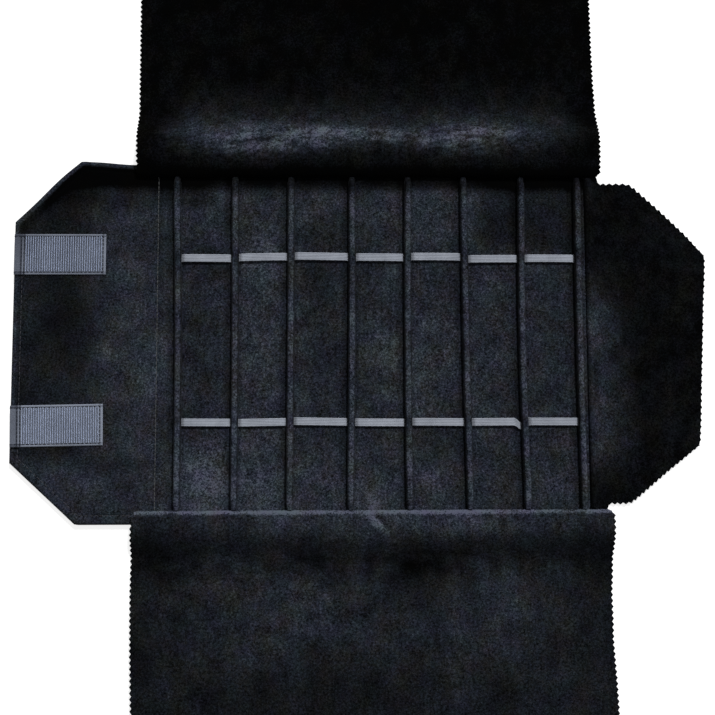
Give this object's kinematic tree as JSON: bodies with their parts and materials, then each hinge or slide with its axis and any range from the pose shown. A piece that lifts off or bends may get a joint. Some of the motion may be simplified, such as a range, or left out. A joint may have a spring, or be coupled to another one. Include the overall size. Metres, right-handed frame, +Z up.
{
  "type": "jewelry roll",
  "caption": "Soft roll-up jewelry case laid open: padded ribs between channels with elastic bands, a closing flap with hook tape, an end flap and two wide cover flaps.",
  "frame": {"origin": "on the table, under the middle of the roll as it lies open", "axes": "+Z up; +X along the row of channels, from the closing flap to the end flap; +Y across them, towards the top cover flap"},
  "size_m": [0.42, 0.576, 0.01],
  "materials": {
    "outer_cover": "plain weave, matt",
    "lining": "velour",
    "rib": "velour",
    "rib_cord": "twisted cotton",
    "elastic": "woven elastic",
    "hook_tape": "nylon hook tape",
    "loop_tape": "nylon loop tape",
    "cover_flap": "velour, pinked edge",
    "end_flap": "velour, pinked edge"
  },
  "bodies": {
    "channel_1": {"outer_cover_1": "outer_cover", "lining_1": "lining", "elastic_band_upper": "elastic", "elastic_band_lower": "elastic"},
    "rib_1": {"rib_1": "rib", "rib_cord_1": "rib_cord"},
    "rib_2": {"rib_2": "rib", "rib_cord_2": "rib_cord"},
    "channel_2": {"outer_cover_2": "outer_cover", "lining_2": "lining"},
    "rib_3": {"rib_3": "rib", "rib_cord_3": "rib_cord"},
    "channel_3": {"outer_cover_3": "outer_cover", "lining_3": "lining"},
    "rib_4": {"rib_4": "rib", "rib_cord_4": "rib_cord"},
    "channel_4": {"outer_cover_4": "outer_cover", "lining_4": "lining"},
    "rib_5": {"rib_5": "rib", "rib_cord_5": "rib_cord"},
    "channel_5": {"outer_cover_5": "outer_cover", "lining_5": "lining"},
    "rib_6": {"rib_6": "rib", "rib_cord_6": "rib_cord"},
    "channel_6": {"outer_cover_6": "outer_cover", "lining_6": "lining", "loop_tape_upper": "loop_tape", "loop_tape_lower": "loop_tape"},
    "rib_7": {"rib_7": "rib", "rib_cord_7": "rib_cord"},
    "channel_7": {"outer_cover_7": "outer_cover", "lining_7": "lining", "rib_8": "rib", "rib_cord_8": "rib_cord"},
    "closing_flap_root": {"closing_flap_cover_root": "outer_cover", "closing_flap_lining_root": "lining"},
    "closing_flap_tip": {"closing_flap_cover_tip": "outer_cover", "closing_flap_lining_tip": "lining", "hook_tape_upper": "hook_tape", "hook_tape_lower": "hook_tape"},
    "end_flap_root": {"end_flap_root": "end_flap"},
    "end_flap_tip": {"end_flap_tip": "end_flap"},
    "top_cover_flap_0": {"top_cover_flap_0": "cover_flap"},
    "top_cover_flap_1": {"top_cover_flap_1": "cover_flap"},
    "top_cover_flap_2": {"top_cover_flap_2": "cover_flap"},
    "top_cover_flap_3": {"top_cover_flap_3": "cover_flap"},
    "top_cover_flap_4": {"top_cover_flap_4": "cover_flap"},
    "top_cover_flap_5": {"top_cover_flap_5": "cover_flap"},
    "top_cover_flap_6": {"top_cover_flap_6": "cover_flap"},
    "top_cover_flap_7": {"top_cover_flap_7": "cover_flap"},
    "bottom_cover_flap_0": {"bottom_cover_flap_0": "cover_flap"},
    "bottom_cover_flap_1": {"bottom_cover_flap_1": "cover_flap"},
    "bottom_cover_flap_2": {"bottom_cover_flap_2": "cover_flap"},
    "bottom_cover_flap_3": {"bottom_cover_flap_3": "cover_flap"},
    "bottom_cover_flap_4": {"bottom_cover_flap_4": "cover_flap"},
    "bottom_cover_flap_5": {"bottom_cover_flap_5": "cover_flap"},
    "bottom_cover_flap_6": {"bottom_cover_flap_6": "cover_flap"},
    "bottom_cover_flap_7": {"bottom_cover_flap_7": "cover_flap"}
  },
  "joints": [
    {"name": "roll_up", "type": "hinge", "parent": "channel_1", "child": "channel_2", "pos_m": [-0.0754, 0, 0.00215], "axis": [0, -1, 0], "range_deg": [0, 46.1], "deforming": ["top_cover_flap_0", "top_cover_flap_1", "top_cover_flap_2", "top_cover_flap_3", "top_cover_flap_4", "top_cover_flap_5", "top_cover_flap_6", "top_cover_flap_7", "bottom_cover_flap_0", "bottom_cover_flap_1", "bottom_cover_flap_2", "bottom_cover_flap_3", "bottom_cover_flap_4", "bottom_cover_flap_5", "bottom_cover_flap_6", "bottom_cover_flap_7", "elastic_band_upper", "elastic_band_lower"]},
    {"name": "rib_2_turn", "type": "hinge", "parent": "channel_1", "child": "rib_2", "pos_m": [-0.0754, 0, 0.00215], "axis": [0, -1, 0], "range_deg": [0, 23.07]},
    {"name": "channel_3_turn", "type": "hinge", "parent": "channel_2", "child": "channel_3", "pos_m": [-0.0412, 0, 0.00215], "axis": [0, -1, 0], "range_deg": [0, 47.59]},
    {"name": "rib_3_turn", "type": "hinge", "parent": "channel_2", "child": "rib_3", "pos_m": [-0.0412, 0, 0.00215], "axis": [0, -1, 0], "range_deg": [0, 23.81]},
    {"name": "channel_4_turn", "type": "hinge", "parent": "channel_3", "child": "channel_4", "pos_m": [-0.0037, 0, 0.00215], "axis": [0, -1, 0], "range_deg": [0, 49.07]},
    {"name": "rib_4_turn", "type": "hinge", "parent": "channel_3", "child": "rib_4", "pos_m": [-0.0037, 0, 0.00215], "axis": [0, -1, 0], "range_deg": [0, 24.54]},
    {"name": "channel_5_turn", "type": "hinge", "parent": "channel_4", "child": "channel_5", "pos_m": [0.0305, 0, 0.00215], "axis": [0, -1, 0], "range_deg": [0, 50.54]},
    {"name": "rib_5_turn", "type": "hinge", "parent": "channel_4", "child": "rib_5", "pos_m": [0.0305, 0, 0.00215], "axis": [0, -1, 0], "range_deg": [0, 25.28]},
    {"name": "channel_6_turn", "type": "hinge", "parent": "channel_5", "child": "channel_6", "pos_m": [0.0661, 0, 0.00215], "axis": [0, -1, 0], "range_deg": [0, 52.01]},
    {"name": "rib_6_turn", "type": "hinge", "parent": "channel_5", "child": "rib_6", "pos_m": [0.0661, 0, 0.00215], "axis": [0, -1, 0], "range_deg": [0, 26.02]},
    {"name": "channel_7_turn", "type": "hinge", "parent": "channel_6", "child": "channel_7", "pos_m": [0.1006, 0, 0.00215], "axis": [0, -1, 0], "range_deg": [0, 53.49]},
    {"name": "rib_7_turn", "type": "hinge", "parent": "channel_6", "child": "rib_7", "pos_m": [0.1006, 0, 0.00215], "axis": [0, -1, 0], "range_deg": [0, 26.75]},
    {"name": "end_flap_turn_in", "type": "hinge", "parent": "channel_7", "child": "end_flap_root", "pos_m": [0.1401, 0, 0.00705], "axis": [0, -1, 0], "range_deg": [0, 176.02]},
    {"name": "end_flap_tip_bend", "type": "hinge", "parent": "end_flap_root", "child": "end_flap_tip", "pos_m": [0.1746, 0, 0], "axis": [0, 1, 0], "range_deg": [0, 68.49]},
    {"name": "closing_flap", "type": "hinge", "parent": "channel_1", "child": "closing_flap_root", "pos_m": [-0.1102, 0, 0.00215], "axis": [0, 1, 0], "range_deg": [0, 41.18]},
    {"name": "rib_1_turn", "type": "hinge", "parent": "channel_1", "child": "rib_1", "pos_m": [-0.1102, 0, 0.00215], "axis": [0, 1, 0], "range_deg": [0, 20.61]},
    {"name": "closing_flap_tip_turn", "type": "hinge", "parent": "closing_flap_root", "child": "closing_flap_tip", "pos_m": [-0.153, 0, 0.00415], "axis": [0, 1, 0], "range_deg": [0, 73.59]},
    {"name": "top_cover_fold", "type": "hinge", "parent": "channel_1", "child": "top_cover_flap_1", "pos_m": [-0.1102, 0.102, 0.00958], "axis": [1, 0, 0], "range_deg": [0, 182.5]},
    {"name": "top_cover_flap_2_fold", "type": "hinge", "parent": "channel_2", "child": "top_cover_flap_2", "pos_m": [-0.0754, 0.102, 0.00958], "axis": [1, 0, 0], "range_deg": [0, 182.52]},
    {"name": "top_cover_flap_3_fold", "type": "hinge", "parent": "channel_3", "child": "top_cover_flap_3", "pos_m": [-0.0412, 0.102, 0.00958], "axis": [1, 0, 0], "range_deg": [0, 182.52]},
    {"name": "top_cover_flap_4_fold", "type": "hinge", "parent": "channel_4", "child": "top_cover_flap_4", "pos_m": [-0.0037, 0.102, 0.00958], "axis": [1, 0, 0], "range_deg": [0, 182.52]},
    {"name": "top_cover_flap_5_fold", "type": "hinge", "parent": "channel_5", "child": "top_cover_flap_5", "pos_m": [0.0305, 0.102, 0.00958], "axis": [1, 0, 0], "range_deg": [0, 182.52]},
    {"name": "top_cover_flap_6_fold", "type": "hinge", "parent": "channel_6", "child": "top_cover_flap_6", "pos_m": [0.0661, 0.102, 0.00958], "axis": [1, 0, 0], "range_deg": [0, 182.52]},
    {"name": "top_cover_flap_7_fold", "type": "hinge", "parent": "channel_7", "child": "top_cover_flap_7", "pos_m": [0.1006, 0.102, 0.00958], "axis": [1, 0, 0], "range_deg": [0, 182.52]},
    {"name": "top_cover_flap_0_fold", "type": "hinge", "parent": "closing_flap_root", "child": "top_cover_flap_0", "pos_m": [-0.1102, 0.102, 0.00958], "axis": [1, 0, 0], "range_deg": [0, 182.52]},
    {"name": "bottom_cover_fold", "type": "hinge", "parent": "channel_1", "child": "bottom_cover_flap_1", "pos_m": [-0.1102, -0.102, 0.01047], "axis": [-1, 0, 0], "range_deg": [0, 180]},
    {"name": "bottom_cover_flap_2_fold", "type": "hinge", "parent": "channel_2", "child": "bottom_cover_flap_2", "pos_m": [-0.0754, -0.102, 0.01047], "axis": [-1, 0, 0], "range_deg": [0, 180.02]},
    {"name": "bottom_cover_flap_3_fold", "type": "hinge", "parent": "channel_3", "child": "bottom_cover_flap_3", "pos_m": [-0.0412, -0.102, 0.01047], "axis": [-1, 0, 0], "range_deg": [0, 180.02]},
    {"name": "bottom_cover_flap_4_fold", "type": "hinge", "parent": "channel_4", "child": "bottom_cover_flap_4", "pos_m": [-0.0037, -0.102, 0.01047], "axis": [-1, 0, 0], "range_deg": [0, 180.02]},
    {"name": "bottom_cover_flap_5_fold", "type": "hinge", "parent": "channel_5", "child": "bottom_cover_flap_5", "pos_m": [0.0305, -0.102, 0.01047], "axis": [-1, 0, 0], "range_deg": [0, 180.02]},
    {"name": "bottom_cover_flap_6_fold", "type": "hinge", "parent": "channel_6", "child": "bottom_cover_flap_6", "pos_m": [0.0661, -0.102, 0.01047], "axis": [-1, 0, 0], "range_deg": [0, 180.02]},
    {"name": "bottom_cover_flap_7_fold", "type": "hinge", "parent": "channel_7", "child": "bottom_cover_flap_7", "pos_m": [0.1006, -0.102, 0.01047], "axis": [-1, 0, 0], "range_deg": [0, 180.02]},
    {"name": "bottom_cover_flap_0_fold", "type": "hinge", "parent": "closing_flap_root", "child": "bottom_cover_flap_0", "pos_m": [-0.1102, -0.102, 0.01047], "axis": [-1, 0, 0], "range_deg": [0, 180.02]}
  ],
  "couplings": [
    {"joint": "rib_2_turn", "follows": "roll_up", "ratio": 0.5},
    {"joint": "channel_3_turn", "follows": "roll_up", "ratio": 1.032},
    {"joint": "rib_3_turn", "follows": "roll_up", "ratio": 0.51598},
    {"joint": "channel_4_turn", "follows": "roll_up", "ratio": 1.0639},
    {"joint": "rib_4_turn", "follows": "roll_up", "ratio": 0.53195},
    {"joint": "channel_5_turn", "follows": "roll_up", "ratio": 1.0959},
    {"joint": "rib_5_turn", "follows": "roll_up", "ratio": 0.54793},
    {"joint": "channel_6_turn", "follows": "roll_up", "ratio": 1.1278},
    {"joint": "rib_6_turn", "follows": "roll_up", "ratio": 0.5639},
    {"joint": "channel_7_turn", "follows": "roll_up", "ratio": 1.1598},
    {"joint": "rib_7_turn", "follows": "roll_up", "ratio": 0.57988},
    {"joint": "end_flap_turn_in", "follows": "roll_up", "ratio": 3.8177},
    {"joint": "end_flap_tip_bend", "follows": "roll_up", "ratio": 1.4851},
    {"joint": "rib_1_turn", "follows": "closing_flap", "ratio": 0.5},
    {"joint": "closing_flap_tip_turn", "follows": "closing_flap", "ratio": 1.7865},
    {"joint": "top_cover_flap_2_fold", "follows": "top_cover_fold", "ratio": 1},
    {"joint": "top_cover_flap_3_fold", "follows": "top_cover_fold", "ratio": 1},
    {"joint": "top_cover_flap_4_fold", "follows": "top_cover_fold", "ratio": 1},
    {"joint": "top_cover_flap_5_fold", "follows": "top_cover_fold", "ratio": 1},
    {"joint": "top_cover_flap_6_fold", "follows": "top_cover_fold", "ratio": 1},
    {"joint": "top_cover_flap_7_fold", "follows": "top_cover_fold", "ratio": 1},
    {"joint": "top_cover_flap_0_fold", "follows": "top_cover_fold", "ratio": 1},
    {"joint": "bottom_cover_flap_2_fold", "follows": "bottom_cover_fold", "ratio": 1},
    {"joint": "bottom_cover_flap_3_fold", "follows": "bottom_cover_fold", "ratio": 1},
    {"joint": "bottom_cover_flap_4_fold", "follows": "bottom_cover_fold", "ratio": 1},
    {"joint": "bottom_cover_flap_5_fold", "follows": "bottom_cover_fold", "ratio": 1},
    {"joint": "bottom_cover_flap_6_fold", "follows": "bottom_cover_fold", "ratio": 1},
    {"joint": "bottom_cover_flap_7_fold", "follows": "bottom_cover_fold", "ratio": 1},
    {"joint": "bottom_cover_flap_0_fold", "follows": "bottom_cover_fold", "ratio": 1}
  ]
}
